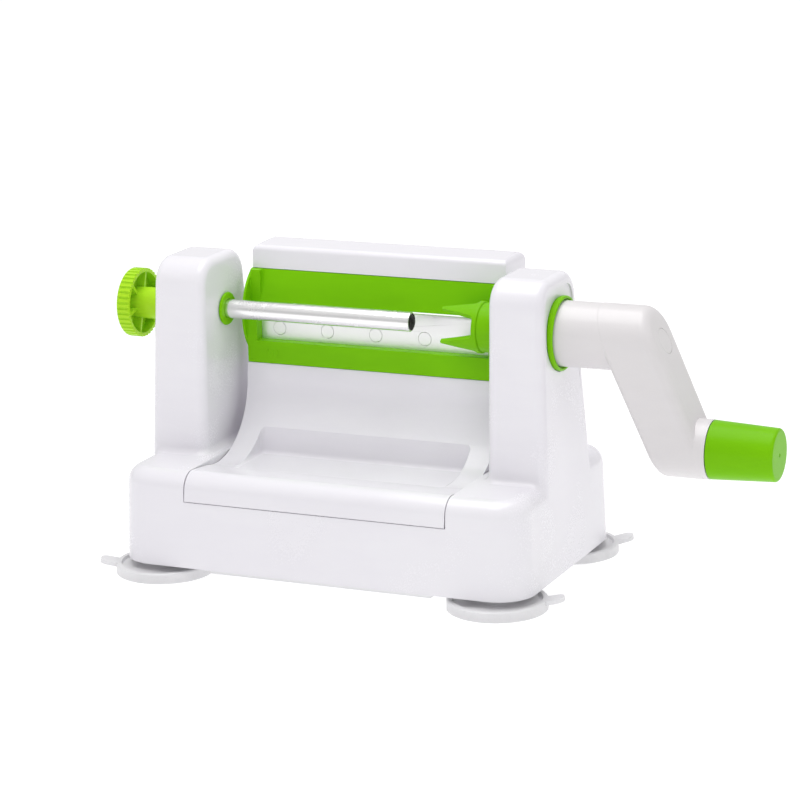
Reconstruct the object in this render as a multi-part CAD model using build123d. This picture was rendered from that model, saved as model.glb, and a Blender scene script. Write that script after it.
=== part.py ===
from build123d import *
import math
import os

# Hand-cranked vegetable sheet slicer.
# Millimetres.  +X runs along the spindle towards the crank, +Y towards the back, +Z up.
# Pieces are drawn about the middle of the spindle and saved about the middle of the
# whole machine, with the origin on the table.

os.makedirs("parts", exist_ok=True)

# ---- Overall sizes -------------------------------------------------------------------
base_width = 224.0
base_depth = 136.0
base_corner_radius = 19.0
body_bottom = 8.0            # lower edge of the housing above the table
deck_height = 57.0           # top of the low part of the housing
deck_round = 9.0
spindle_height = 128.7
tower_over_spindle = 29.1
tower_inner_face = 78.5      # distance of each tower's inner face from the middle
body_draft = 2.0             # degrees, all round the housing
housing_wall = 2.8

tower_top = spindle_height + tower_over_spindle

# ---- Tower side outline --------------------------------------------------------------
tower_front_foot = 31.0      # in front of the spindle, at the lower edge of the housing
tower_front_top = 24.8
tower_rear_foot = 42.0
tower_rear_top = 22.5
tower_crown_radius = 14.0
tower_edge_round = 4.6
tower_foot_round = 3.5
bore_panel_depth = 0.9       # shallow arched panel round each bush, outside the towers
bore_panel_margin = 6.0
bore_panel_drop = 36.7        # from the spindle down to where the panel ends

# ---- Bay that the carriage swings in --------------------------------------------------
bay_inset = 6.5               # from the towers' inner faces in to the bay
bay_rear_rail = 19.0          # width of the deck behind the bay
bay_side_wall = 2.6
notch_depth = 14.6            # below the deck
bay_half_width = tower_inner_face - bay_inset
bay_rear = base_depth / 2 - bay_rear_rail
notch_bottom = deck_height - notch_depth

# ---- Running fits and gaps -------------------------------------------------------------
running_clearance = 0.08
parting_gap = 0.5
seat_gap = 0.3

# ---- Bottom plate ----------------------------------------------------------------------
plate_thickness = 2.5
plate_recess = 0.6           # above the housing's lower edge
plate_step_inset = 51.0      # from the base's ends
plate_step_depth = 4.4
plate_step_slope = 3.6
screw_inset = 7.6            # from the base's ends
screw_spread = 34.0
screw_radius = 1.5
screw_head_radius = 2.9
screw_head_height = 1.8
screw_length = 14.0
boss_radius = 4.2
plate_step_half_width = base_width / 2 - plate_step_inset
screw_x = base_width / 2 - screw_inset
screw_positions = [(sx * screw_x, sy * screw_spread / 2) for sx in (-1, 1) for sy in (-1, 1)]

# ---- Suction cups ----------------------------------------------------------------------
cup_radius = 25.2
cup_inset_x = 19.5           # from the base's ends to the cups' middles
cup_inset_y = 17.0
cup_rim_height = 5.4
cup_rim_width = 2.6
cup_web_height = 3.9
cup_neck_radius = 9.0
cup_hollow_height = 2.2
cup_tab_length = 8.5
cup_tab_width = 10.0
cup_tab_thickness = 2.0
cup_tab_rise = 12.0          # degrees
cup_turns = {                # directions the tabs point in, in degrees from the right
    "front_left": 202.0,
    "front_right": 12.0,
    "rear_left": 158.0,
    "rear_right": 30.0,
}
stud_radius = 3.0
stud_flange_radius = 7.0
stud_flange_height = 2.0
cup_offset_x = base_width / 2 - cup_inset_x
cup_offset_y = base_depth / 2 - cup_inset_y

# ---- Coring tube and knob ----------------------------------------------------------------
tube_radius = 5.0
tube_wall = 0.6
tube_reach = 51.4            # from the left tower's inner face to short of the holder
knob_radius = 18.1
knob_overhang = 21.6         # outer face beyond the base's end
knob_rim_length = 7.4
knob_wall = 2.0
knob_flutes = 40
knob_flute_radius = 0.75
knob_hub_radius = 8.2
knob_ribs = 6
knob_rib_thickness = 1.6
knob_gap = 0.8
tube_travel = 85.0
tube_bush_radius = 7.0
tube_bush_flange = 8.6
tube_bush_lip = 1.6
tube_tip = tower_inner_face - tube_reach
knob_outer_face = -(base_width / 2 + knob_overhang)

# ---- Crank ---------------------------------------------------------------------------------
hub_radius = 16.5
hub_engagement = 13.0        # how far the hub reaches in from the base's end
hub_wall = 2.6
crank_bush_wall = 1.35
crank_bush_flange = 18.8
crank_bush_lip = 2.4
crank_throw = 52.8
arm_offset = 35.6            # from the base's end to the arm's middle line at the spindle
arm_lean = 24.1              # degrees from vertical
arm_half_width = 13.3
arm_round = 6.0
collar_radius = 14.8
arm_head_radius = 16.7       # round ends of the arm, seen along the spindle
arm_foot_radius = 15.1
grip_offset = 75.0           # from the base's end to the grip
collar_length = 3.0
grip_length = 33.6
grip_radius_inner = 14.7
grip_radius_outer = 13.2
grip_pin_radius = 4.0
crank_travel = 12.0
cap_radius = 6.6
cap_thickness = 1.2
bolt_radius = 2.5
bolt_head_radius = 4.6
bolt_head_height = 3.2
hub_inner_end = base_width / 2 - hub_engagement
arm_centre_x = base_width / 2 + arm_offset
grip_start = base_width / 2 + grip_offset
grip_end = grip_start + grip_length
collar_start = grip_start - collar_length

# ---- Prong holder ----------------------------------------------------------------------------
holder_radius = 13.2
holder_stand_out = 13.8      # from the right tower's inner face to the cup's mouth
holder_collar_length = 2.6
holder_stem_radius = 12.5
holder_spigot_radius = 9.0
holder_spigot_length = 12.0
holder_cup_depth = 4.5
holder_wall = 2.6
prong_length = 17.7
prong_count = 4
prong_first_angle = 33.4
prong_tip_radius = 12.4       # outer radius of the ring of prongs at their tips
prong_root_width = 11.0
prong_waist_width = 8.2
prong_tip_width = 1.2
prong_root_flare = 1.6       # length over which a prong spreads into the rim
holder_face = tower_inner_face - holder_stand_out

# ---- Carriage ----------------------------------------------------------------------------------
# Heights of the tray follow the deck, and heights of the blade and hood follow the spindle.
carriage_side_gap = 0.6
carriage_wall = 2.6
nose_radius = 9.6
nose_setback = 1.4           # of the nose behind the housing's front
nose_top_proud = 0.1
pivot_radius = 2.5
seat_back_y = 8.5            # where the seat's arc ends, under the cassette
seat_drop = 36.2             # of the seat's centre below the spindle
seat_sink = 3.0              # of the seat's lowest line below the deck
seat_lip_drop = 30.1         # of the top of the seat below the spindle
carriage_plane = 20.8        # the upright face behind the cassette
hood_front = 18.6
hood_bottom_rise = 18.6      # above the spindle
hood_top_rise = 31.6
hood_rear = 45.9
hood_front_round = 3.0
hood_rear_round = 6.0
hood_end_round = 5.0         # of the hood's upper corners, seen from the front
pocket_inset = 12.1          # from the carriage's sides
pocket_front_share = 0.26    # of the seat's radius, in front of the seat's middle
pocket_slope_share = 0.105
pocket_back = -2.6
pocket_back_top = -0.8
pocket_depth = 3.6           # of its floor below the deck
pocket_rise = 15.1       # of its upper end above its floor
pocket_round = 2.4
exit_inset = 11.4
exit_bottom_rise = 9.0       # above the deck
exit_top_rise = 9.3          # above the spindle
exit_round = 5.0
window_inset = 8.9
window_bottom_drop = 16.7    # below the spindle
window_top_rise = 14.3
rear_waist_y = 36.0
rear_waist_rise = 13.0       # above the deck
rear_foot_y = 30.0
rear_foot_drop = 11.0        # below the deck
spring_wire = 0.6
spring_radius = 4.1
spring_turns = 7
spring_pitch = 1.7
spring_inset = 15.4
carriage_tilt = 12.0         # degrees, from rest to its rear stop

carriage_half_width = bay_half_width - carriage_side_gap
pivot_y = nose_setback + nose_radius - base_depth / 2
pivot_z = deck_height + nose_top_proud - nose_radius
seat_centre_z = spindle_height - seat_drop
seat_radius = seat_centre_z - deck_height + seat_sink
seat_centre_y = seat_back_y - seat_radius
seat_top = spindle_height - seat_lip_drop
hood_bottom = spindle_height + hood_bottom_rise
hood_top = spindle_height + hood_top_rise
pocket_half_width = carriage_half_width - pocket_inset
pocket_floor = deck_height - pocket_depth
pocket_top = pocket_floor + pocket_rise
pocket_front = seat_centre_y - pocket_front_share * seat_radius
pocket_slope_end = seat_centre_y - pocket_slope_share * seat_radius
exit_half_width = carriage_half_width - exit_inset
exit_bottom = deck_height + exit_bottom_rise
exit_top = spindle_height + exit_top_rise
window_half_width = carriage_half_width - window_inset
window_bottom = spindle_height - window_bottom_drop
window_top = spindle_height + window_top_rise
rear_waist_z = deck_height + rear_waist_rise
rear_foot_z = deck_height - rear_foot_drop
spring_place = carriage_half_width - spring_inset

# ---- Blade cassette --------------------------------------------------------------------------
# Heights are above the spindle, or below it where they are negative.
cassette_side_gap = 0.6
cassette_front = 8.6
cheek_thickness = 1.3
cheek_bulge_y = tube_radius + 0.4
cheek_bulge_rise = -4.7
cheek_foot_rise = -23.2
cheek_foot_y = 12.2
rail_height = 11.7
post_width = 5.6
panel_low_y = 14.2
panel_low_rise = 1.7
panel_high_y = 18.3
panel_thickness = 3.0
cheek_spindle_clearance = 2.0  # round the holder
blade_front = 15.0
blade_thickness = 1.0
blade_edge_rise = 0.7
blade_height = 26.9
blade_bevel = 1.6
blade_side_grip = 2.0        # how far the blade runs into each post
rivet_radius = 3.5
rivet_spacing = 27.5
rivet_count = 5
rivet_rise = -12.1

cassette_half_width = carriage_half_width - cassette_side_gap
cassette_bottom = seat_top + seat_gap
cassette_top = hood_bottom - seat_gap
rail_top = cassette_bottom + rail_height
panel_low_z = spindle_height + panel_low_rise
cheek_bulge_z = spindle_height + cheek_bulge_rise
cheek_foot_z = spindle_height + cheek_foot_rise
blade_edge_z = spindle_height + blade_edge_rise
blade_bottom_z = blade_edge_z - blade_height
blade_half = cassette_half_width - post_width + blade_side_grip
rivet_height = spindle_height + rivet_rise

# ---- Small helpers -------------------------------------------------------------------------------


def rod(radius, x_from, x_to, y=0.0, z=spindle_height):
    """A round bar along X."""
    middle = (x_from + x_to) / 2
    return Pos(middle, y, z) * Rot(0, 90, 0) * Cylinder(radius, abs(x_to - x_from))


def cone_rod(radius_from, radius_to, x_from, x_to, y=0.0, z=spindle_height):
    """A tapered round bar along X."""
    middle = (x_from + x_to) / 2
    return Pos(middle, y, z) * Rot(0, 90, 0) * Cone(radius_from, radius_to, x_to - x_from)


def tube(outer, inner, x_from, x_to, y=0.0, z=spindle_height):
    """A round tube along X."""
    return rod(outer, x_from, x_to, y, z) - rod(inner, x_from - 1, x_to + 1, y, z)


def block(x_from, x_to, y_from, y_to, z_from, z_to):
    """A box given by its sides."""
    size = Box(x_to - x_from, y_to - y_from, z_to - z_from)
    return Pos((x_from + x_to) / 2, (y_from + y_to) / 2, (z_from + z_to) / 2) * size


def across(face, x_from, x_to):
    """A side outline, drawn in Y and Z, pulled along X."""
    return extrude(Plane.YZ.offset(x_from) * face, x_to - x_from)


def outline(*points):
    """A closed flat outline with straight sides."""
    return make_face(Polyline(*points, close=True))


def both_sides(shape):
    """A shape and its mirror image on the other side of the middle."""
    return shape + mirror(shape, Plane.YZ)


def save(shape, name):
    """Moves one piece from the spindle's middle to the machine's and writes its file."""
    machine_middle = (knob_outer_face + grip_end) / 2
    export_step(Pos(-machine_middle, 0, 0) * shape, f"parts/{name}.step")


# ---- Housing ---------------------------------------------------------------------------------------


def drafted_body(inset, z_from, z_to):
    """The housing's rounded, drafted plan, drawn in by inset, between two heights."""
    shrink = (z_from - body_bottom) * math.tan(math.radians(body_draft))
    width = base_width - 2 * (inset + shrink)
    depth = base_depth - 2 * (inset + shrink)
    plan = RectangleRounded(width, depth, base_corner_radius - inset - shrink)
    return extrude(Pos(0, 0, z_from) * plan, z_to - z_from, taper=body_draft)


def tower_outline(inset):
    """One tower seen from its side, drawn in by inset."""
    side = outline(
        (-tower_front_foot, body_bottom),
        (-tower_front_top, tower_top),
        (tower_rear_top, tower_top),
        (tower_rear_foot, body_bottom),
    )
    side = fillet(side.vertices().group_by(Axis.Y)[-1], tower_crown_radius)
    if inset:
        side = offset(side, -inset)
    return side


def tower_shape():
    """The right tower as a solid block with its outer edges rounded."""
    tower = across(tower_outline(0), tower_inner_face, base_width / 2 + 1)
    tower &= drafted_body(0, body_bottom, tower_top + 1)
    sides = tower.faces().sort_by(Axis.X)
    rounded = sides[-1].edges() + sides[0].edges()
    rounded = [e for e in rounded if e.center().Z > body_bottom + 1]
    return fillet(rounded, tower_edge_round)


def bore_panel():
    """The shallow arched panel outside the right tower, which fades out downwards."""
    bore_panel_bottom = spindle_height - bore_panel_drop
    arch = tower_outline(bore_panel_margin)
    top = tower_top - bore_panel_margin
    face_at_top = outer_face_at(top) - bore_panel_depth
    face_at_bottom = outer_face_at(bore_panel_bottom)
    wedge = Polyline(
        (face_at_top, top),
        (base_width, top),
        (base_width, bore_panel_bottom),
        (face_at_bottom, bore_panel_bottom),
        close=True,
    )
    wedge = extrude(Plane.XZ * make_face(wedge), base_depth, both=True)
    return across(arch, tower_inner_face, base_width) & wedge


def outer_face_at(height):
    """Distance of a tower's outer face from the middle, at a height."""
    return base_width / 2 - (height - body_bottom) * math.tan(math.radians(body_draft))


tower_outer_face = outer_face_at(spindle_height)
crank_bush_face = tower_outer_face - bore_panel_depth / 3
tube_bore_radius = tube_bush_radius + running_clearance
crank_bush_radius = hub_radius + running_clearance + crank_bush_wall
crank_bore_radius = crank_bush_radius + running_clearance
plate_bottom = body_bottom + plate_recess
plate_top = plate_bottom + plate_thickness
inner_deck = deck_height - housing_wall


def main_housing():
    """The white one-piece body: low base, two towers and the bay between them."""
    low = drafted_body(0, body_bottom, deck_height)
    low = fillet(low.faces().sort_by(Axis.Z)[-1].edges(), deck_round)
    right = tower_shape()
    left = mirror(right, Plane.YZ)
    body = low + right + left
    feet = new_edges(low, right, left, combined=body)
    body = fillet([e for e in feet if e.center().Z > deck_height - 1], tower_foot_round)

    inside = drafted_body(housing_wall, body_bottom - 1, inner_deck)
    walls = both_sides(
        block(bay_half_width, bay_half_width + bay_side_wall, -base_depth, base_depth,
              plate_top + seat_gap, inner_deck)
    )
    inside -= walls
    shaft = across(tower_outline(housing_wall), tower_inner_face + housing_wall, base_width)
    shaft &= drafted_body(housing_wall, body_bottom - 1, tower_top)
    shaft -= block(0, base_width, -base_depth, base_depth, body_bottom - 2, inner_deck - 1)
    body -= inside + both_sides(shaft)

    body -= block(-bay_half_width, bay_half_width, -base_depth, bay_rear, notch_bottom, tower_top)
    body -= both_sides(bore_panel())
    body -= rod(tube_bore_radius, -base_width, 0)
    body -= rod(crank_bore_radius, 0, base_width)
    body -= rod(crank_bush_flange + parting_gap, crank_bush_face - seat_gap, base_width)

    for x, y in screw_positions:
        boss_height = inner_deck - plate_top + 1
        boss = Pos(x, y, plate_top + boss_height / 2) * Cylinder(boss_radius, boss_height)
        pilot = Pos(x, y, plate_top + screw_length / 2) * Cylinder(screw_radius, screw_length)
        body += boss
        body -= pilot
    body -= both_sides(
        rod(pivot_radius, bay_half_width - 1, bay_half_width + bay_side_wall + 1, pivot_y, pivot_z)
    )
    return body


def bottom_plate():
    """The flat plate that closes the housing, with a shallow step down in its middle."""
    shrink = housing_wall + seat_gap
    plan = RectangleRounded(
        base_width - 2 * shrink, base_depth - 2 * shrink, base_corner_radius - shrink
    )
    plate = extrude(Pos(0, 0, plate_bottom) * plan, plate_thickness)
    half_depth = base_depth / 2 - shrink - plate_step_slope
    step_bottom = plate_bottom - plate_step_depth
    low = outline(
        (-plate_step_half_width - plate_step_slope, plate_bottom),
        (-plate_step_half_width, step_bottom),
        (plate_step_half_width, step_bottom),
        (plate_step_half_width + plate_step_slope, plate_bottom),
    )
    plate += extrude(Plane.XZ * low, half_depth, both=True)
    hollow_x = plate_step_half_width - plate_thickness
    hollow_y = half_depth - plate_thickness
    plate -= block(-hollow_x, hollow_x, -hollow_y, hollow_y, step_bottom + plate_thickness, plate_top)
    for x, y in screw_positions:
        plate -= Pos(x, y, plate_bottom) * Cylinder(screw_radius + 0.2, 3 * plate_thickness)
    for x, y in cup_positions():
        plate -= Pos(x, y, plate_bottom) * Cylinder(stud_radius + 0.1, 3 * plate_thickness)
    return plate


def plate_screws():
    """The pan-head screws that hold the bottom plate."""
    pieces = []
    for x, y in screw_positions:
        head = Pos(x, y, plate_bottom - screw_head_height / 2)
        head *= Cylinder(screw_head_radius, screw_head_height)
        shank_length = plate_thickness + screw_length - 1
        shank = Pos(x, y, plate_bottom + shank_length / 2) * Cylinder(screw_radius, shank_length)
        slot = Pos(x, y, plate_bottom - screw_head_height)
        cross = slot * Box(screw_head_radius, 0.7, 1.6) + slot * Box(0.7, screw_head_radius, 1.6)
        pieces.append(head + shank - cross)
    return Compound(children=pieces)


# ---- Suction cups -----------------------------------------------------------------------------


def cup_positions():
    """The middles of the four cups on the table."""
    return [(sx * cup_offset_x, sy * cup_offset_y) for sy in (-1, 1) for sx in (-1, 1)]


def suction_cup(x, y, turn):
    """One soft cup with a thick rim, a thin web, a neck and a pull tab that points at turn."""
    rim_inner = cup_radius - cup_rim_width
    section = outline(
        (0, cup_hollow_height),
        (rim_inner - 4.0, cup_hollow_height - 0.4),
        (rim_inner, 0),
        (cup_radius, 0),
        (cup_radius, cup_rim_height - 0.6),
        (cup_radius - 0.6, cup_rim_height),
        (rim_inner, cup_rim_height),
        (rim_inner - 0.6, cup_web_height),
        (cup_neck_radius + 3.0, cup_web_height + 0.9),
        (cup_neck_radius, plate_bottom - 1.4),
        (cup_neck_radius, plate_bottom),
        (0, plate_bottom),
    )
    cup = revolve(Plane.XZ * section, Axis.Z)
    start = cup_radius - cup_rim_width
    tab = Pos((cup_tab_length + cup_rim_width) / 2, 0, 0)
    tab *= Box(cup_tab_length + cup_rim_width, cup_tab_width, cup_tab_thickness)
    tab = fillet(tab.edges().filter_by(Axis.Z).group_by(Axis.X)[-1], cup_tab_width / 2 - 0.8)
    lift = cup_rim_height - cup_tab_thickness / 2 - 0.4
    tab = Pos(start, 0, lift) * Rot(0, -cup_tab_rise, 0) * tab
    cup += tab
    cup -= Pos(0, 0, plate_bottom) * Cylinder(stud_radius + 0.1, 2 * stud_flange_height + 4)
    return Pos(x, y, 0) * Rot(0, 0, turn) * cup


def cup_studs():
    """The flanged plastic studs that hold the cups up to the bottom plate."""
    pieces = []
    low = plate_bottom - stud_flange_height - 2
    high = plate_top + stud_flange_height
    for x, y in cup_positions():
        stem = Pos(x, y, (low + high) / 2) * Cylinder(stud_radius, high - low)
        flange = Pos(x, y, plate_top + stud_flange_height / 2)
        flange *= Cylinder(stud_flange_radius, stud_flange_height)
        pieces.append(stem + flange)
    return Compound(children=pieces)


# ---- Coring tube -----------------------------------------------------------------------------------

knob_inner_face = knob_outer_face + knob_rim_length
bush_outer_end = -(tower_outer_face + 1.6)
knob_hub_end = bush_outer_end - knob_gap


def tube_bush():
    """The green bush that turns in the left tower and guides the tube."""
    flange_start = -(tower_inner_face - seat_gap)
    bush = rod(tube_bush_radius, bush_outer_end, flange_start)
    flange = rod(tube_bush_flange, flange_start, flange_start + tube_bush_lip)
    flange = chamfer(flange.edges().group_by(Axis.X)[-1], 0.5)
    bush += flange
    groove_x = -(tower_inner_face + housing_wall + seat_gap)
    bush -= tube(tube_bush_radius + 1, tube_bush_radius - 0.9, groove_x - 1.2, groove_x)
    return bush - rod(tube_radius + running_clearance, bush_outer_end - 1, 0)


def snap_ring(shaft_radius, x_from, thickness, width):
    """A snap ring with a gap at the top, in a groove round a shaft."""
    ring = tube(shaft_radius + width, shaft_radius, x_from, x_from + thickness)
    gap = Pos(x_from, 0, spindle_height + shaft_radius) * Box(4 * thickness, 3.0, 3 * width)
    return ring - gap


def tube_bush_clip():
    """The clip that keeps the tube's bush in the tower."""
    groove_x = -(tower_inner_face + housing_wall + seat_gap)
    return snap_ring(tube_bush_radius - 0.9, groove_x - 1.2, 1.2, 2.2)


def coring_tube():
    """The thin steel tube with an edge ground at its tip."""
    body = rod(tube_radius, knob_outer_face + 3 * knob_wall / 2, tube_tip)
    body = chamfer(body.edges().group_by(Axis.X)[-1], tube_wall * 0.7)
    return body - rod(tube_radius - tube_wall, knob_outer_face, tube_tip + 1)


def tube_knob():
    """The green knob: a fluted rim, a closed outer face, a hub and ribs behind it."""
    rim = rod(knob_radius, knob_outer_face, knob_inner_face)
    rim = fillet(rim.edges().group_by(Axis.X)[0], 1.2)
    flutes = []
    for i in range(knob_flutes):
        angle = 2 * math.pi * i / knob_flutes
        y = knob_radius * math.cos(angle)
        z = spindle_height + knob_radius * math.sin(angle)
        flutes.append(rod(knob_flute_radius, knob_outer_face - 1, knob_inner_face + 1, y, z))
    rim -= flutes
    rim -= rod(knob_radius - knob_wall, knob_outer_face + knob_wall, knob_inner_face + 1)
    knob = rim + rod(knob_hub_radius, knob_outer_face + knob_wall, knob_hub_end)
    rib_reach = knob_radius - knob_wall / 2
    for i in range(knob_ribs):
        rib = block(knob_outer_face + 1, knob_inner_face - 0.8, 0, rib_reach,
                    -knob_rib_thickness / 2, knob_rib_thickness / 2)
        knob += Pos(0, 0, spindle_height) * Rot(360 * i / knob_ribs + 15, 0, 0) * rib
    return knob - rod(tube_radius, knob_outer_face + 3 * knob_wall / 2, knob_hub_end + 1)


# ---- Crank -------------------------------------------------------------------------------------------

grip_height = spindle_height - crank_throw


def crank_bush():
    """The green bush that turns in the right tower and guides the crank's hub."""
    inner_end = tower_inner_face - 0.4
    bush = rod(crank_bush_radius, inner_end, crank_bush_face)
    flange_end = tower_outer_face + crank_bush_lip
    flange = rod(crank_bush_flange, crank_bush_face, flange_end)
    bush += chamfer(flange.edges().group_by(Axis.X)[-1], 0.5)
    bush -= rod(hub_radius + running_clearance, inner_end - 1, flange_end + 1)
    mouth = crank_bush_radius - 0.5
    bush -= rod(mouth, flange_end - 1.6, flange_end + 1)
    groove_x = tower_inner_face + housing_wall + seat_gap
    return bush - tube(crank_bush_radius + 1, crank_bush_radius - 0.6, groove_x, groove_x + 1.2)


def crank_bush_clip():
    """The clip that keeps the crank's bush in the tower."""
    groove_x = tower_inner_face + housing_wall + seat_gap
    return snap_ring(crank_bush_radius - 0.6, groove_x, 1.2, 2.4)


def arm_edge(height, side):
    """X of the arm's outer (+1) or inner (-1) face at a height."""
    slope = math.tan(math.radians(arm_lean))
    reach = arm_half_width / math.cos(math.radians(arm_lean))
    return arm_centre_x + (spindle_height - height) * slope + side * reach


def link_outline():
    """The crank's arm seen along the spindle: two round ends and their common tangents."""
    spread = math.asin((arm_head_radius - arm_foot_radius) / crank_throw)
    reach, lift = math.cos(spread), math.sin(spread)
    sides = outline(
        (-arm_head_radius * reach, spindle_height + arm_head_radius * lift),
        (arm_head_radius * reach, spindle_height + arm_head_radius * lift),
        (arm_foot_radius * reach, grip_height + arm_foot_radius * lift),
        (-arm_foot_radius * reach, grip_height + arm_foot_radius * lift),
    )
    ends = Pos(0, spindle_height) * Circle(arm_head_radius)
    ends += Pos(0, grip_height) * Circle(arm_foot_radius)
    wire = (sides + ends).faces()[0].outer_wire()
    count = 24  # points on the smooth outline
    points = [wire.position_at(i / count) for i in range(count)]
    return make_face(Spline(*[(p.X, p.Y) for p in points], periodic=True))


def arm_plane(side, height=spindle_height):
    """The plane of the arm's outer (+1) or inner (-1) face."""
    lean = math.radians(arm_lean)
    place = (arm_edge(height, side), 0, height)
    return Plane(origin=place, x_dir=(0, 1, 0), z_dir=(math.cos(lean), 0, math.sin(lean)))


def leaning_face(arm, side):
    """The arm's outer (+1) or inner (-1) flat face."""
    lean = Vector(math.cos(math.radians(arm_lean)), 0, math.sin(math.radians(arm_lean)))
    flat = arm.faces().filter_by(GeomType.PLANE)
    return max(flat, key=lambda f: side * f.normal_at().dot(lean))


def crank_arm():
    """The white crank: hub, leaning arm and the collar that carries the grip."""
    arm = across(link_outline(), hub_inner_end, grip_end)
    arm = split(arm, bisect_by=arm_plane(1), keep=Keep.BOTTOM)
    arm = split(arm, bisect_by=arm_plane(-1), keep=Keep.TOP)
    arm = fillet(leaning_face(arm, 1).edges(), arm_round)
    arm = fillet(leaning_face(arm, -1).edges(), arm_round / 2)
    arm -= block(collar_start, grip_end, -hub_radius - 9, hub_radius + 9, 0, spindle_height)
    arm += rod(hub_radius, hub_inner_end, arm_centre_x)
    arm += rod(collar_radius, arm_edge(grip_height, 0), grip_start - seat_gap, 0, grip_height)
    arm -= rod(holder_spigot_radius + 0.1, hub_inner_end - 1, spigot_end)
    arm -= rod(bolt_radius + 0.2, hub_inner_end, grip_start)
    arm -= rod(bolt_head_radius + 0.4, bolt_seat, grip_start)
    arm -= arm_plane(1) * Cylinder(cap_radius + 0.1, 2 * cap_thickness)
    return arm - rod(grip_pin_radius + 0.02, pin_start, grip_start + 1, 0, grip_height)


spigot_end = hub_inner_end + holder_spigot_length + seat_gap
bolt_seat = arm_edge(spindle_height, 0)
bolt_tip = holder_face + holder_cup_depth + 22
pin_start = arm_edge(grip_height, -1) + 8
pin_neck_end = grip_start + 21.0
pin_head_radius = grip_pin_radius + 1.3
pin_head_length = 4.0


def arm_cap():
    """The small round cap that hides the bolt in the arm."""
    cap = arm_plane(1) * Pos(0, 0, -cap_thickness / 2) * Cylinder(cap_radius, cap_thickness)
    rim = cap.edges().filter_by(GeomType.CIRCLE)
    return chamfer(max(rim, key=lambda e: e.center().X), 0.3)


def hub_bolt():
    """The bolt that joins the crank to the prong holder."""
    bolt = rod(bolt_radius, bolt_tip, bolt_seat)
    head = rod(bolt_head_radius, bolt_seat, bolt_seat + bolt_head_height)
    socket = RegularPolygon(2.2, 6)
    socket = across(Pos(0, spindle_height) * socket, bolt_seat + 1.2, bolt_seat + 4)
    return bolt + head - socket


def grip_pin():
    """The steel pin with a barbed head that the grip turns on."""
    pin = rod(grip_pin_radius, pin_start, pin_neck_end, 0, grip_height)
    head = cone_rod(pin_head_radius, grip_pin_radius, pin_neck_end,
                    pin_neck_end + pin_head_length, 0, grip_height)
    return pin + head


def grip():
    """The green tapered grip."""
    body = cone_rod(grip_radius_inner, grip_radius_outer, grip_start, grip_end, 0, grip_height)
    body = fillet(body.edges().group_by(Axis.X)[-1], 1.5)
    body = fillet(body.edges().group_by(Axis.X)[0], 0.4)
    bore = grip_pin_radius + running_clearance
    body -= rod(bore, grip_start - 1, pin_neck_end, 0, grip_height)
    pocket = rod(pin_head_radius + 0.3, pin_neck_end - seat_gap,
                 pin_neck_end + pin_head_length + 0.6, 0, grip_height)
    mark = rod(1.0, grip_end - 0.3, grip_end + 1, 0, grip_height)
    return body - pocket - mark


# ---- Prong holder --------------------------------------------------------------------------------


def prong_holder():
    """The green holder: a shallow cup with pointed prongs on a stem into the crank's hub."""
    collar_end = holder_face + holder_collar_length
    holder = rod(holder_radius, holder_face, collar_end)
    holder = fillet(holder.edges().group_by(Axis.X)[-1], 0.8)
    holder += rod(holder_stem_radius, collar_end - 1, hub_inner_end - seat_gap)
    holder += rod(holder_spigot_radius, hub_inner_end - 1, spigot_end - seat_gap)
    cup = holder_radius - holder_wall
    holder -= rod(cup, holder_face - 1, holder_face + holder_cup_depth)
    tip = holder_face - prong_length
    ring = cone_rod(prong_tip_radius, holder_radius, tip, holder_face)
    ring -= cone_rod(prong_tip_radius - 2.0, cup, tip, holder_face)
    for i in range(prong_count):
        tooth = outline(
            (tip, -prong_tip_width / 2),
            (tip, prong_tip_width / 2),
            (holder_face - prong_root_flare, prong_waist_width / 2),
            (holder_face, prong_root_width / 2),
            (holder_face, -prong_root_width / 2),
            (holder_face - prong_root_flare, -prong_waist_width / 2),
        )
        tooth = extrude(tooth, holder_radius + 2)
        turn = Rot(prong_first_angle + 360 * i / prong_count, 0, 0)
        holder += (Pos(0, 0, spindle_height) * turn * tooth) & ring
    return holder - rod(bolt_radius + 0.05, bolt_tip - 2, spigot_end)


# ---- Carriage ------------------------------------------------------------------------------------------


def carriage_outline():
    """The whole carriage seen from its side."""
    nose_front = (pivot_y - nose_radius, pivot_z)
    nose_mid = (pivot_y - nose_radius * math.sqrt(0.5), pivot_z + nose_radius * math.sqrt(0.5))
    nose_top = (pivot_y, pivot_z + nose_radius)
    seat_start = (pocket_front, seat_low)
    seat_mid = (seat_centre_y + seat_radius * math.sin(math.radians(40)),
                seat_centre_z - seat_radius * math.cos(math.radians(40)))
    seat_end = (seat_centre_y + seat_radius, seat_centre_z)
    ledge = (seat_end[0] + 0.7, seat_top)
    foot = (pivot_y - nose_radius - 0.6, notch_bottom + parting_gap)
    edges = [
        Line(foot, nose_front),
        ThreePointArc(nose_front, nose_mid, nose_top),
        Line(nose_top, seat_start),
        ThreePointArc(seat_start, seat_mid, seat_end),
        Polyline(
            seat_end, ledge, (carriage_plane, seat_top), (carriage_plane, hood_bottom),
            (hood_front, hood_bottom), (hood_front + 0.8, hood_top - 1.4), (hood_rear, hood_top),
            (rear_waist_y, rear_waist_z), (rear_foot_y, rear_foot_z),
            (pivot_y, pivot_z - nose_radius), (pivot_y - nose_radius + 3.2, foot[1]), foot,
        ),
    ]
    side = make_face(edges)
    corners = side.vertices()
    front_corner = min(corners, key=lambda v: abs(v.X - hood_front - 0.8) + abs(v.Y - hood_top))
    side = fillet(front_corner, hood_front_round)
    rear_corner = min(side.vertices(), key=lambda v: abs(v.X - hood_rear) + abs(v.Y - hood_top))
    return fillet(rear_corner, hood_rear_round)


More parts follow.
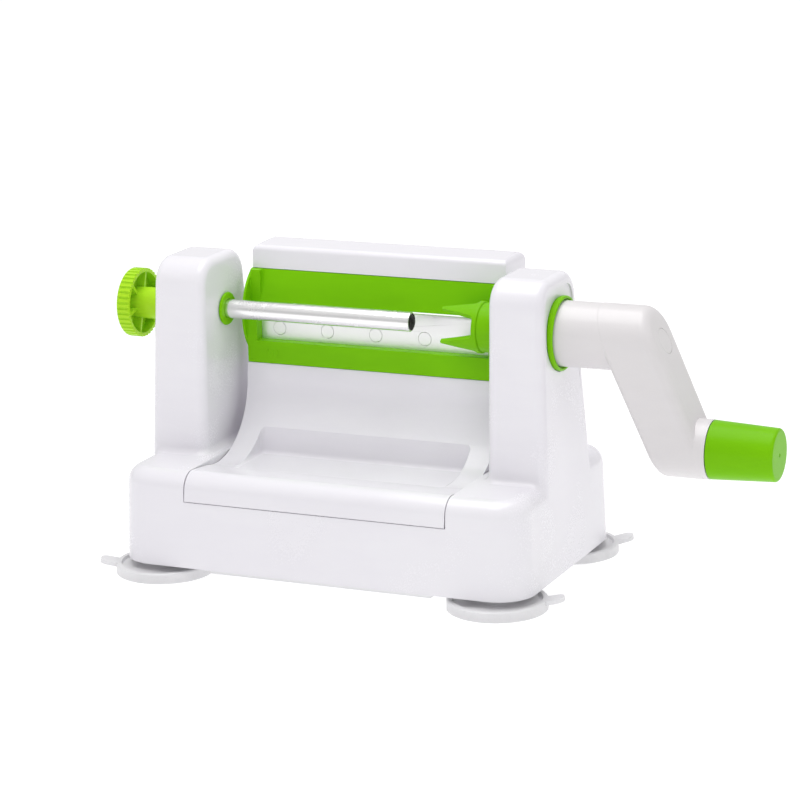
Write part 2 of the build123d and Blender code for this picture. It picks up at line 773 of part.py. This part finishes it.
def pocket_shape(grow):
    """The tray's recess as a solid, made larger all round by grow."""
    side = outline(
        (pocket_front, seat_centre_z),
        (pocket_front, seat_low),
        (pocket_slope_end, pocket_floor),
        (pocket_back, pocket_floor),
        (pocket_back_top, pocket_top),
        (pocket_back_top, seat_centre_z),
    )
    if grow:
        side = offset(side, grow, kind=Kind.INTERSECTION)
    half = pocket_half_width + grow
    return across(side, -half, half)


seat_low = seat_centre_z - math.sqrt(seat_radius**2 - (pocket_front - seat_centre_y) ** 2)


def blade_carriage():
    """The white carriage: nose, vegetable tray with its recess, back, hood and sides."""
    side = carriage_outline()
    shell = across(side, -carriage_half_width, carriage_half_width)
    cavity_half = carriage_half_width - carriage_wall
    cavity = across(offset(side, -carriage_wall), -cavity_half, cavity_half)
    cavity += block(-cavity_half, cavity_half, pivot_y + nose_radius,
                    rear_foot_y - 2 * carriage_wall, pivot_z - 2 * nose_radius, rear_foot_z + 4)
    cavity -= pocket_shape(carriage_wall)
    end = carriage_half_width - hood_end_round
    crown = hood_top - hood_end_round
    corner = block(end, base_width, -base_depth, base_depth, crown, hood_top + hood_end_round)
    round_off = Pos(end, 0, crown) * Rot(90, 0, 0) * Cylinder(hood_end_round, 3 * base_depth)
    shell -= both_sides(corner - round_off)
    shell -= cavity
    pocket = pocket_shape(0)
    sunk = pocket.edges().filter_by(lambda e: e.center().Z < pocket_top - 1)
    sunk = [e for e in sunk if e.center().Y > pocket_slope_end + 0.1 or abs(e.center().X) > 1]
    pocket = fillet([e for e in sunk if e.center().Z > pocket_floor - 1
                     and e.center().Y > pocket_front + 2], pocket_round)
    shell -= pocket
    window = RectangleRounded(2 * window_half_width, window_top - window_bottom, exit_round)
    window = Pos(0, carriage_plane + carriage_wall, (window_top + window_bottom) / 2) * (
        Rot(90, 0, 0) * extrude(window, carriage_wall * 2, both=True)
    )
    shell -= window
    outlet = RectangleRounded(2 * exit_half_width, exit_top - exit_bottom, exit_round)
    outlet = Pos(0, hood_rear - 4, (exit_top + exit_bottom) / 2) * (
        Rot(90, 0, 0) * extrude(outlet, 10, both=True)
    )
    shell -= outlet
    sleeve_end = carriage_half_width - 0.2
    shell += both_sides(rod(pivot_radius + 2.4, cavity_half - 6, sleeve_end, pivot_y, pivot_z))
    bore = pivot_radius + running_clearance
    return shell - rod(bore, -base_width, base_width, pivot_y, pivot_z)


def pivot_rod():
    """The steel rod that the carriage tilts on."""
    end = bay_half_width + bay_side_wall
    return rod(pivot_radius, -end, end, pivot_y, pivot_z)


def return_springs():
    """Two coil springs round the pivot rod, inside the nose."""
    height = spring_turns * spring_pitch
    path = Helix(spring_pitch, height, spring_radius)
    start = Plane(origin=path @ 0, z_dir=path % 0)
    coil = sweep(start * Circle(spring_wire), path=path)
    coil = Rot(0, 90, 0) * coil
    pieces = [Pos(x, pivot_y, pivot_z) * coil for x in (-spring_place, spring_place - height)]
    return Compound(children=pieces)


# ---- Blade cassette -------------------------------------------------------------------------------


def cassette_frame():
    """The green frame that carries the blade: rail, posts, upper panel and end cheeks."""
    back = carriage_plane - seat_gap
    bottom = cassette_bottom
    half = cassette_half_width
    bed_front = blade_front + blade_thickness
    frame = block(-half, half, cassette_front, back, bottom, rail_top)
    inner = half - post_width
    for left, right in ((-half, -inner), (inner, half)):
        frame += block(left, right, cassette_front, back, bottom, blade_edge_z - 3)
        frame += block(left, right, panel_low_y, back, rail_top, cassette_top)
    frame += block(-inner, inner, bed_front, back, rail_top - 1, blade_edge_z - 6)
    panel = outline(
        (panel_low_y, panel_low_z),
        (panel_high_y, cassette_top),
        (back, cassette_top),
        (back, cassette_top - 3),
        (panel_low_y + panel_thickness, panel_low_z),
    )
    frame += across(panel, -half, half)
    cheek = make_face([
        ThreePointArc((cheek_foot_y, cheek_foot_z), (cheek_bulge_y, cheek_bulge_z),
                      (panel_high_y, cassette_top)),
        Polyline((panel_high_y, cassette_top), (back, cassette_top), (back, cheek_foot_z),
                 (cheek_foot_y, cheek_foot_z)),
    ])
    frame += across(cheek, -half - cheek_thickness, -half)
    frame += across(cheek, half, half + cheek_thickness)
    cut = holder_radius + cheek_spindle_clearance
    frame -= rod(cut, holder_face - 6, bay_half_width + 6)
    slot = seat_gap / 2
    frame -= block(-blade_half - slot, blade_half + slot, blade_front - slot, bed_front,
                   blade_bottom_z - slot, panel_low_z)
    return frame


def rivet_places():
    """X of each rivet."""
    return [(i - (rivet_count - 1) / 2) * rivet_spacing for i in range(rivet_count)]


def blade_plate():
    """The steel blade with its ground upper edge and a hole for each rivet."""
    height = blade_edge_z - blade_bottom_z
    middle = (blade_edge_z + blade_bottom_z) / 2
    face = Pos(0, middle) * Rectangle(2 * blade_half, height)
    for x in rivet_places():
        face -= Pos(x, rivet_height) * Circle(rivet_radius + 0.15)
    blade = extrude(Plane.XZ.offset(-blade_front) * face, -blade_thickness)
    bevel = outline(
        (blade_front - 1, blade_edge_z + 1),
        (blade_front - 1, blade_edge_z - blade_bevel),
        (blade_front, blade_edge_z - blade_bevel),
        (blade_front + 0.8 * blade_thickness, blade_edge_z),
        (blade_front + 0.8 * blade_thickness, blade_edge_z + 1),
    )
    return blade - across(bevel, -blade_half - 1, blade_half + 1)


def blade_rivets():
    """The flush rivets that hold the blade to the cassette."""
    length = blade_thickness
    pieces = []
    for x in rivet_places():
        rivet = Pos(x, blade_front + length / 2, rivet_height) * Rot(90, 0, 0)
        pieces.append(rivet * Cylinder(rivet_radius, length))
    return Compound(children=pieces)


for name, maker in {
    "main_housing": main_housing,
    "bottom_plate": bottom_plate,
    "bottom_plate_screws": plate_screws,
    "cup_studs": cup_studs,
    "tube_bush": tube_bush,
    "tube_bush_clip": tube_bush_clip,
    "coring_tube": coring_tube,
    "tube_knob": tube_knob,
    "crank_bush": crank_bush,
    "crank_bush_clip": crank_bush_clip,
    "crank_arm": crank_arm,
    "arm_cap": arm_cap,
    "hub_bolt": hub_bolt,
    "grip_pin": grip_pin,
    "grip": grip,
    "prong_holder": prong_holder,
    "blade_carriage": blade_carriage,
    "pivot_rod": pivot_rod,
    "return_springs": return_springs,
    "cassette_frame": cassette_frame,
    "blade_plate": blade_plate,
    "blade_rivets": blade_rivets,
}.items():
    save(maker(), name)

for (name, turn), (x, y) in zip(cup_turns.items(), cup_positions()):
    save(suction_cup(x, y, turn), f"suction_cup_{name}")
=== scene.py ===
"""Hand-cranked vegetable sheet slicer, dressed for a studio picture.

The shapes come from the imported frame.  Each sub-assembly below softens the edges of
its own pieces, adds the small details that only show close up, and paints everything
with procedural finishes.  Lengths are in metres.
"""

from __future__ import annotations

import logging
import math
from dataclasses import dataclass, field
from enum import Enum
from typing import Any, ClassVar, Iterable, Sequence, Union

import bmesh
import bpy
from mathutils import Matrix, Vector

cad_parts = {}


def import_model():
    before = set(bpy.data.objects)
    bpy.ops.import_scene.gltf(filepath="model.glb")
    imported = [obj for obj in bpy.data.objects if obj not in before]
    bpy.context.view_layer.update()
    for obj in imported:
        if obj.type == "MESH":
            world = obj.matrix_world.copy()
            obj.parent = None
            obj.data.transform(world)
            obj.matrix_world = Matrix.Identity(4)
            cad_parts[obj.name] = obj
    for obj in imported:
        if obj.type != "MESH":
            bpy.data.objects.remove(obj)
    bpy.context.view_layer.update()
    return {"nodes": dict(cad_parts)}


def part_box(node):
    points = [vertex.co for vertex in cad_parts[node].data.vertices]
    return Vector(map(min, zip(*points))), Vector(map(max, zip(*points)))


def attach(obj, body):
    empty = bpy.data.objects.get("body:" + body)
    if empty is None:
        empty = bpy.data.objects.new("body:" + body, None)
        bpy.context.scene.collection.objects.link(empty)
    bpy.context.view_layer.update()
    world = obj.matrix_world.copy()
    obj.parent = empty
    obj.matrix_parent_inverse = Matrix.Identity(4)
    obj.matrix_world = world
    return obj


log = logging.getLogger("slicer")

MM = 0.001
Colour = tuple[float, float, float]


# ---- Shader expressions -------------------------------------------------------------


class Signal:
    """A shader socket that can be written in ordinary arithmetic."""

    def __init__(self, board: "Board", socket: bpy.types.NodeSocket) -> None:
        """Wraps one output socket.

        Args:
            board: The material's node board.
            socket: The output socket to wrap.
        """
        self.board = board
        self.socket = socket

    def _math(self, operation: str, *values: Any) -> "Signal":
        """Adds one Math node.

        Args:
            operation: The Math node's operation.
            values: Numbers or signals, in socket order.

        Returns:
            The node's result.
        """
        inputs = dict(enumerate(values))
        return self.board.node("ShaderNodeMath", {"operation": operation}, inputs)

    def __add__(self, other: Any) -> "Signal":
        """self + other."""
        return self._math("ADD", self, other)

    def __radd__(self, other: Any) -> "Signal":
        """other + self."""
        return self._math("ADD", other, self)

    def __sub__(self, other: Any) -> "Signal":
        """self - other."""
        return self._math("SUBTRACT", self, other)

    def __rsub__(self, other: Any) -> "Signal":
        """other - self."""
        return self._math("SUBTRACT", other, self)

    def __mul__(self, other: Any) -> "Signal":
        """self * other."""
        return self._math("MULTIPLY", self, other)

    def __rmul__(self, other: Any) -> "Signal":
        """other * self."""
        return self._math("MULTIPLY", other, self)

    def __truediv__(self, other: Any) -> "Signal":
        """self / other."""
        return self._math("DIVIDE", self, other)

    def __rtruediv__(self, other: Any) -> "Signal":
        """other / self."""
        return self._math("DIVIDE", other, self)

    def clamp(self, low: float = 0.0, high: float = 1.0) -> "Signal":
        """Keeps the value between two limits.

        Args:
            low: The lower limit.
            high: The upper limit.

        Returns:
            The limited value.
        """
        return self._math("MINIMUM", self._math("MAXIMUM", self, low), high)

    def band(self, low: float, high: float) -> "Signal":
        """A smooth step from 0 at low to 1 at high.

        Args:
            low: Where the step starts.
            high: Where the step ends.

        Returns:
            The smooth step.
        """
        t = ((self - low) / (high - low)).clamp()
        return t * t * (3.0 - 2.0 * t)


Value = Union[Signal, float, Sequence[float]]


class Board:
    """One material's nodes, with a single way to add a node."""

    def __init__(self, name: str) -> None:
        """Starts an empty material.

        Args:
            name: The material's name.
        """
        self.material = bpy.data.materials.new(name)
        self.material.use_nodes = True
        self.tree = self.material.node_tree
        self.tree.nodes.clear()

    def node(
        self,
        kind: str,
        settings: dict[str, Any] | None = None,
        inputs: dict[Any, Value] | None = None,
        output: Union[int, str] = 0,
    ) -> Signal:
        """Adds one node, sets it and links it.

        Args:
            kind: The node's type.
            settings: Attributes to set first.
            inputs: Values or signals by socket name or index.
            output: Which output to return.

        Returns:
            The chosen output.
        """
        made = self.tree.nodes.new(kind)
        for key, value in (settings or {}).items():
            setattr(made, key, value)
        for key, value in (inputs or {}).items():
            socket = made.inputs[key]
            if isinstance(value, Signal):
                self.tree.links.new(value.socket, socket)
            elif isinstance(socket.default_value, (int, float, bool)):
                socket.default_value = value
            else:
                size = len(socket.default_value)
                padded = list(value) + [1.0] * size
                socket.default_value = padded[:size]
        return Signal(self, made.outputs[output]) if made.outputs else Signal(self, None)

    def place(self) -> Signal:
        """The point on the object, in metres."""
        return self.node("ShaderNodeTexCoord", output="Object")

    def stretched(self, scale: Sequence[float]) -> Signal:
        """The point on the object with each axis scaled.

        Args:
            scale: The three factors.

        Returns:
            The scaled point.
        """
        return self.node("ShaderNodeMapping", None, {"Vector": self.place(), "Scale": scale})

    def noise(self, point: Signal, scale: float, detail: float = 3.0, rough: float = 0.5) -> Signal:
        """Soft noise from 0 to 1.

        Args:
            point: Where to read it.
            scale: Cycles per metre.
            detail: Octaves.
            rough: How strong the fine octaves are.

        Returns:
            The noise.
        """
        sockets = {"Vector": point, "Scale": scale, "Detail": detail, "Roughness": rough}
        return self.node("ShaderNodeTexNoise", None, sockets)

    def mix(self, amount: Value, first: Value, second: Value) -> Signal:
        """A colour between two colours.

        Args:
            amount: 0 for the first, 1 for the second.
            first: One colour.
            second: The other colour.

        Returns:
            The mixed colour.
        """
        sockets = {0: amount, 6: first, 7: second}
        return self.node("ShaderNodeMix", {"data_type": "RGBA"}, sockets, 2)

    def edges(self, low: float, high: float) -> Signal:
        """1 on outside corners and 0 elsewhere.

        Args:
            low: Pointiness where the effect starts.
            high: Pointiness where it is full.

        Returns:
            The edge mask.
        """
        return self.node("ShaderNodeNewGeometry", output="Pointiness").band(low, high)

    def bump(self, height: Signal, depth: float, strength: float = 1.0) -> Signal:
        """A bumped normal.

        Args:
            height: The height pattern, 0 to 1.
            depth: The depth of the pattern in metres.
            strength: How strongly it shows.

        Returns:
            The normal.
        """
        sockets = {"Height": height, "Distance": depth, "Strength": strength}
        return self.node("ShaderNodeBump", None, sockets)

    def surface(self, **sockets: Value) -> bpy.types.Material:
        """Closes the material with a Principled shader.

        Args:
            sockets: Principled inputs, with underscores for spaces.

        Returns:
            The finished material.
        """
        named = {key.replace("_", " "): value for key, value in sockets.items()}
        shader = self.node("ShaderNodeBsdfPrincipled", None, named)
        self.node("ShaderNodeOutputMaterial", None, {"Surface": shader})
        return self.material


# ---- Finishes -----------------------------------------------------------------------


class Direction(Enum):
    """Which way a metal's grain runs, as scales along X, Y and Z."""

    ALONG = (60.0, 5200.0, 5200.0)
    ROUND = (5200.0, 90.0, 90.0)


@dataclass(frozen=True)
class MouldedPlastic:
    """Injection-moulded plastic: faint tone drift, orange peel, handling marks and dust."""

    name: str
    colour: Colour
    shade: Colour
    roughness: float
    peel_scale: float = 420.0
    peel_depth: float = 0.00004
    grain_depth: float = 0.000002
    coat: float = 0.25
    translucency: float = 0.0
    gloss: float = 0.5

    def build(self) -> bpy.types.Material:
        """Makes the material.

        Returns:
            The finished plastic.
        """
        board = Board(self.name)
        point = board.place()
        drift = board.noise(point, 9.0, 2.0)
        flow = board.noise(board.stretched((1.0, 1.0, 3.5)), 38.0, 4.0, 0.6)
        tone = (0.65 * drift + 0.35 * flow).band(0.34, 0.68)
        body = board.mix(tone, self.shade, self.colour)
        smudge = board.noise(point, 26.0, 2.5, 0.5).band(0.25, 0.8)
        dust = board.noise(point, 1400.0, 2.0, 0.5).band(0.3, 0.85)
        rough = self.roughness + 0.035 * smudge + 0.02 * dust
        peel = board.noise(point, self.peel_scale, 1.5)
        grain = board.noise(point, 5200.0, 2.0)
        fine = board.bump(grain, self.grain_depth, 0.35)
        sockets = {"Height": peel, "Distance": self.peel_depth, "Strength": 0.5, "Normal": fine}
        normal = board.node("ShaderNodeBump", None, sockets)
        return board.surface(
            Base_Color=body,
            Roughness=rough.clamp(),
            Normal=normal,
            Coat_Weight=self.coat,
            Coat_Roughness=0.12,
            IOR=1.5,
            Specular_IOR_Level=self.gloss,
            Subsurface_Weight=self.translucency,
            Subsurface_Radius=(0.004, 0.004, 0.004),
            Subsurface_Scale=0.4,
        )


@dataclass(frozen=True)
class Steel:
    """Drawn or ground steel with fine streaks along or round the piece."""

    name: str
    colour: Colour
    dark: Colour
    roughness: float
    direction: Direction
    streak_depth: float = 0.000012
    stain: float = 0.10

    def build(self) -> bpy.types.Material:
        """Makes the material.

        Returns:
            The finished steel.
        """
        board = Board(self.name)
        streak = board.noise(board.stretched(self.direction.value), 1.0, 4.0, 0.65)
        broad = board.noise(board.place(), 24.0, 3.0)
        water = board.noise(board.place(), 130.0, 4.0, 0.6).band(0.56, 0.72)
        worn = board.edges(0.52, 0.6)
        tone = (0.55 * streak + 0.45 * broad).band(0.32, 0.7)
        body = board.mix(tone, self.dark, self.colour)
        body = board.mix(worn * 0.6, body, (0.93, 0.93, 0.94))
        rough = self.roughness + 0.10 * streak + self.stain * water - 0.05 * worn
        return board.surface(
            Base_Color=body,
            Metallic=1.0,
            Roughness=rough.clamp(0.05, 1.0),
            Normal=board.bump(streak, self.streak_depth, 0.5),
        )


@dataclass(frozen=True)
class SoftVinyl:
    """Clouded grey-white vinyl with dust, greyer towards its bottom."""

    name: str
    colour: Colour
    shade: Colour
    roughness: float = 0.34

    def build(self) -> bpy.types.Material:
        """Makes the material.

        Returns:
            The finished vinyl.
        """
        board = Board(self.name)
        point = board.place()
        cloud = board.noise(point, 70.0, 4.0, 0.6).band(0.3, 0.75)
        dust = board.noise(point, 900.0, 3.0, 0.7).band(0.55, 0.8)
        # The cups turn greyer in their lowest 4 mm, towards the floor, and greyer again where the
        # dust speckles fall.
        height = board.node("ShaderNodeSeparateXYZ", None, {"Vector": point}, 2)
        low = 1.0 - height.band(0.0, 0.004)
        body = board.mix(cloud, self.shade, self.colour)
        grey = tuple(0.72 * c for c in self.shade)
        body = board.mix((dust * 0.25 + low * 0.2).clamp(), body, grey)
        return board.surface(
            Base_Color=body,
            Roughness=(self.roughness + 0.16 * dust + 0.06 * cloud).clamp(),
            Normal=board.bump(board.noise(point, 650.0, 2.0), 0.00007, 0.5),
            Subsurface_Weight=0.35,
            Subsurface_Radius=(0.006, 0.006, 0.006),
            Subsurface_Scale=0.5,
            Coat_Weight=0.15,
            IOR=1.46,
        )


@dataclass(frozen=True)
class StudioFloor:
    """The pale sheet that the machine stands on."""

    name: str
    colour: Colour = (0.36, 0.36, 0.365)
    glow: float = 0.78

    def build(self) -> bpy.types.Material:
        """Makes the material.

        Returns:
            The floor's finish.
        """
        board = Board(self.name)
        tone = board.noise(board.place(), 3.0, 2.0)
        pale = tuple(0.985 * c for c in self.colour)
        body = board.mix(tone, pale, self.colour)
        return board.surface(
            Base_Color=body,
            Roughness=0.6 + 0.1 * tone,
            Emission_Color=(1.0, 1.0, 1.0),
            Emission_Strength=self.glow,
        )


class Finish(Enum):
    """Every finish on the machine."""

    HOUSING = MouldedPlastic(
        "white_gloss_housing", (0.86, 0.845, 0.885), (0.835, 0.815, 0.865), 0.24
    )
    CARRIAGE = MouldedPlastic(
        "white_gloss_carriage", (0.86, 0.845, 0.885), (0.83, 0.81, 0.86), 0.22
    )
    CRANK = MouldedPlastic(
        "white_satin_crank", (0.745, 0.72, 0.728), (0.715, 0.69, 0.70), 0.36, 520.0, 0.00005
    )
    PLATE = MouldedPlastic(
        "white_matt_plate", (0.84, 0.84, 0.85), (0.80, 0.80, 0.81), 0.5, 900.0, 0.00008, coat=0.0
    )
    GREEN = MouldedPlastic(
        "lime_green", (0.205, 0.565, 0.002), (0.175, 0.51, 0.002), 0.3, 500.0, coat=0.0, gloss=0.09
    )
    KNOB = MouldedPlastic(
        "bright_lime_knob", (0.46, 0.79, 0.025), (0.41, 0.74, 0.02), 0.3, 500.0,
        coat=0.0, gloss=0.16,
    )
    CASSETTE = MouldedPlastic(
        "grass_green_cassette", (0.21, 0.595, 0.002), (0.185, 0.545, 0.002), 0.36, 520.0,
        coat=0.0, gloss=0.08,
    )
    TUBE = Steel("polished_tube", (0.97, 0.955, 0.95), (0.87, 0.855, 0.85), 0.24, Direction.ALONG)
    BLADE = Steel(
        "ground_blade", (0.955, 0.94, 0.955), (0.92, 0.905, 0.92), 0.44, Direction.ALONG, 0.000003
    )
    SCREW = Steel("plated_screws", (0.66, 0.66, 0.66), (0.5, 0.5, 0.5), 0.3, Direction.ROUND)
    SPRING = Steel("spring_wire", (0.5, 0.5, 0.5), (0.36, 0.36, 0.36), 0.35, Direction.ROUND)
    VINYL = SoftVinyl("clouded_vinyl", (0.80, 0.793, 0.81), (0.74, 0.733, 0.75))
    FLOOR = StudioFloor("studio_floor")

    def material(self) -> bpy.types.Material:
        """The finish's material, made once."""
        made = bpy.data.materials.get(self.value.name)
        return made or self.value.build()


# ---- Making and dressing pieces -------------------------------------------------------


@dataclass(frozen=True)
class Edge:
    """How far a moulding's sharp edges are broken."""

    width: float
    segments: int = 2
    angle: float = 32.0


SHARP = Edge(0.15 * MM, 1)
CRISP = Edge(0.35 * MM)
EASED = Edge(0.7 * MM, 3)


def new_piece(name: str, shape: bmesh.types.BMesh) -> bpy.types.Object:
    """Turns a bmesh into an object in the scene.

    Args:
        name: The piece's name.
        shape: The mesh, which is freed.

    Returns:
        The new object.
    """
    mesh = bpy.data.meshes.new(name)
    bmesh.ops.recalc_face_normals(shape, faces=shape.faces)
    shape.to_mesh(mesh)
    shape.free()
    made = bpy.data.objects.new(name, mesh)
    bpy.context.scene.collection.objects.link(made)
    return made


def soften(piece: bpy.types.Object, edge: Edge | None) -> None:
    """Rounds a piece's sharp edges and evens out its shading.

    Args:
        piece: The object to treat.
        edge: How far to round, or None to only even out the shading.
    """
    for polygon in piece.data.polygons:
        polygon.use_smooth = True
    weld = piece.modifiers.new("weld", "WELD")
    weld.merge_threshold = 0.002 * MM
    if edge:
        bevel = piece.modifiers.new("soft_edges", "BEVEL")
        bevel.width = edge.width
        bevel.segments = edge.segments
        bevel.limit_method = "ANGLE"
        bevel.angle_limit = math.radians(edge.angle)
        bevel.use_clamp_overlap = True
        bevel.harden_normals = False
    even = piece.modifiers.new("even_shading", "WEIGHTED_NORMAL")
    even.weight = 60
    even.keep_sharp = False


class SubAssembly:
    """Pieces that are dressed together."""

    label: ClassVar[str] = "sub-assembly"

    def dress(self, nodes: dict[str, bpy.types.Object]) -> None:
        """Paints and softens the sub-assembly.

        Args:
            nodes: The frame's objects by name.
        """
        raise NotImplementedError

    @staticmethod
    def coat(
        nodes: dict[str, bpy.types.Object],
        names: Iterable[str],
        finish: Finish,
        edge: Edge | None = CRISP,
    ) -> None:
        """Gives several pieces one finish.

        Args:
            nodes: The frame's objects by name.
            names: The pieces to coat.
            finish: Their finish.
            edge: How far their sharp edges are rounded.
        """
        for name in names:
            piece = nodes[name]
            piece.data.materials.clear()
            piece.data.materials.append(finish.material())
            soften(piece, edge)
            log.info("coated %s with %s", name, finish.value.name)


@dataclass
class Body(SubAssembly):
    """The housing, its bottom plate and its feet."""

    label: ClassVar[str] = "body"
    edge: Edge = EASED
    cups: tuple[str, ...] = (
        "suction_cup_front_left",
        "suction_cup_front_right",
        "suction_cup_rear_left",
        "suction_cup_rear_right",
    )

    def dress(self, nodes: dict[str, bpy.types.Object]) -> None:
        """Paints the housing, plate, screws and cups.

        Args:
            nodes: The frame's objects by name.
        """
        self.coat(nodes, ["main_housing"], Finish.HOUSING, self.edge)
        self.coat(nodes, ["bottom_plate", "cup_studs"], Finish.PLATE)
        self.coat(nodes, ["bottom_plate_screws"], Finish.SCREW, SHARP)
        self.coat(nodes, ["pivot_rod"], Finish.TUBE, SHARP)
        self.coat(nodes, ["return_springs"], Finish.SPRING, None)
        self.coat(nodes, self.cups, Finish.VINYL, CRISP)


@dataclass
class CoringSpindle(SubAssembly):
    """The steel tube, its knob and the bush it slides in."""

    label: ClassVar[str] = "coring spindle"

    def dress(self, nodes: dict[str, bpy.types.Object]) -> None:
        """Paints the tube, knob, bush and clip.

        Args:
            nodes: The frame's objects by name.
        """
        self.coat(nodes, ["coring_tube"], Finish.TUBE, None)
        self.coat(nodes, ["tube_knob"], Finish.KNOB, CRISP)
        self.coat(nodes, ["tube_bush"], Finish.GREEN, CRISP)
        self.coat(nodes, ["tube_bush_clip"], Finish.SPRING, SHARP)


@dataclass
class Crank(SubAssembly):
    """The crank, its grip, the pronged holder and the bush they turn in."""

    label: ClassVar[str] = "crank"

    def dress(self, nodes: dict[str, bpy.types.Object]) -> None:
        """Paints the crank's pieces.

        Args:
            nodes: The frame's objects by name.
        """
        self.coat(nodes, ["crank_arm", "arm_cap"], Finish.CRANK, CRISP)
        self.coat(nodes, ["crank_bush", "grip", "prong_holder"], Finish.GREEN, CRISP)
        self.coat(nodes, ["hub_bolt", "grip_pin"], Finish.SCREW, SHARP)
        self.coat(nodes, ["crank_bush_clip"], Finish.SPRING, SHARP)


@dataclass
class Carriage(SubAssembly):
    """The tilting carriage with its tray, and the blade cassette in it."""

    label: ClassVar[str] = "carriage"
    mark_count: int = 3
    mark_size: tuple[float, float, float] = (1.0 * MM, 0.3 * MM, 3.6 * MM)
    mark_pitch: float = 2.6 * MM
    mark_from_left: float = 13.0 * MM
    mark_height: float = 5.6 * MM
    rail_setback: float = 3.2 * MM

    def dress(self, nodes: dict[str, bpy.types.Object]) -> None:
        """Paints the carriage, cassette and blade, and adds the thickness marks.

        Args:
            nodes: The frame's objects by name.
        """
        self.coat(nodes, ["blade_carriage"], Finish.CARRIAGE, EASED)
        self.coat(nodes, ["cassette_frame"], Finish.CASSETTE, CRISP)
        self.coat(nodes, ["blade_plate", "blade_rivets"], Finish.BLADE, SHARP)
        self.thickness_marks()

    def thickness_marks(self) -> None:
        """Adds the row of small raised bars on the cassette's lower rail."""
        low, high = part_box("cassette_frame")
        rail_front = low.y + self.rail_setback
        shape = bmesh.new()
        for index in range(self.mark_count):
            middle = Vector((
                low.x + self.mark_from_left + index * self.mark_pitch,
                rail_front,
                low.z + self.mark_height,
            ))
            self._bar(shape, middle)
        marks = new_piece("thickness_marks", shape)
        marks.data.materials.append(Finish.CASSETTE.material())
        soften(marks, SHARP)
        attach(marks, "carriage_body")
        log.info("added thickness_marks")

    def _bar(self, shape: bmesh.types.BMesh, middle: Vector) -> None:
        """Adds one raised bar.

        Args:
            shape: The mesh to add to.
            middle: The bar's middle, on the rail's face.
        """
        made = bmesh.ops.create_cube(shape, size=1.0)["verts"]
        bmesh.ops.scale(shape, vec=self.mark_size, verts=made)
        bmesh.ops.translate(shape, vec=middle, verts=made)


# ---- Studio ------------------------------------------------------------------------------


@dataclass
class SoftBox:
    """One large, soft studio light."""

    name: str
    place: tuple[float, float, float]
    target: tuple[float, float, float]
    size: tuple[float, float]
    power: float
    colour: Colour = (1.0, 1.0, 1.0)

    def build(self) -> None:
        """Hangs the light."""
        data = bpy.data.lights.new(self.name, "AREA")
        data.shape = "RECTANGLE"
        data.size, data.size_y = self.size
        data.energy = self.power
        data.color = self.colour
        lamp = bpy.data.objects.new(self.name, data)
        lamp.location = self.place
        aim = Vector(self.target) - Vector(self.place)
        lamp.rotation_euler = aim.to_track_quat("-Z", "Y").to_euler()
        bpy.context.scene.collection.objects.link(lamp)


@dataclass
class Studio:
    """The floor, the lights and the camera."""

    azimuth: float = 24.107
    elevation: float = 14.041
    roll: float = -1.309
    distance: float = 1.5304
    focal: float = 134.9
    target: tuple[float, float, float] = (-0.02392, 0.0, 0.08738)
    floor_half: float = 30.0
    floor_gap: float = 0.05 * MM
    world_colour: Colour = (1.0, 1.0, 1.0)
    world_strength: float = 0.58
    lights: list[SoftBox] = field(default_factory=lambda: [
        SoftBox("key", (-0.9, -1.1, 1.3), (0.0, 0.0, 0.08), (0.9, 0.9), 0.5),
        SoftBox("top", (-0.1, 0.0, 1.4), (0.0, 0.0, 0.08), (1.3, 0.9), 12.5),
        SoftBox("side", (1.3, -0.5, 0.6), (0.0, 0.0, 0.08), (0.5, 0.9), 1.0),
    ])

    def build(self) -> None:
        """Sets up the whole studio."""
        self.floor()
        self.world()
        for light in self.lights:
            light.build()
        self.camera()
        bpy.context.scene.view_settings.view_transform = "Standard"

    def floor(self) -> None:
        """Lays the pale, flat floor."""
        shape = bmesh.new()
        bmesh.ops.create_grid(shape, x_segments=8, y_segments=8, size=self.floor_half)
        bmesh.ops.translate(shape, vec=(0.0, 0.0, -self.floor_gap), verts=shape.verts)
        floor = new_piece("studio_floor", shape)
        floor.data.materials.append(Finish.FLOOR.material())
        log.info("laid the floor")

    def world(self) -> None:
        """Fills the room with even white light."""
        world = bpy.data.worlds.new("studio_room")
        world.use_nodes = True
        background = world.node_tree.nodes["Background"]
        background.inputs["Color"].default_value = (*self.world_colour, 1.0)
        background.inputs["Strength"].default_value = self.world_strength
        bpy.context.scene.world = world

    def camera(self) -> None:
        """Sets the camera at the picture's viewing angle."""
        around = math.radians(self.azimuth)
        up = math.radians(self.elevation)
        turn = math.radians(self.roll)
        back = Vector((
            math.sin(around) * math.cos(up), -math.cos(around) * math.cos(up), math.sin(up)
        ))
        right = Vector((0.0, 0.0, 1.0)).cross(back).normalized()
        above = back.cross(right)
        rolled = math.cos(turn) * right + math.sin(turn) * above
        tall = -math.sin(turn) * right + math.cos(turn) * above
        place = Vector(self.target) + back * self.distance
        data = bpy.data.cameras.new("camera")
        data.lens = self.focal
        data.sensor_width = 36.0
        data.clip_end = 100.0
        camera = bpy.data.objects.new("camera", data)
        basis = Matrix((rolled, tall, back)).transposed().to_4x4()
        camera.matrix_world = Matrix.Translation(place) @ basis
        bpy.context.scene.collection.objects.link(camera)
        bpy.context.scene.camera = camera


def main() -> None:
    """Builds the studio and dresses the whole machine."""
    logging.basicConfig(level=logging.INFO, format="%(name)s: %(message)s")
    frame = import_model()
    for part in (Body(), CoringSpindle(), Crank(), Carriage()):
        part.dress(frame["nodes"])
        log.info("finished the %s", part.label)
    Studio().build()


if __name__ == "__main__":
    main()
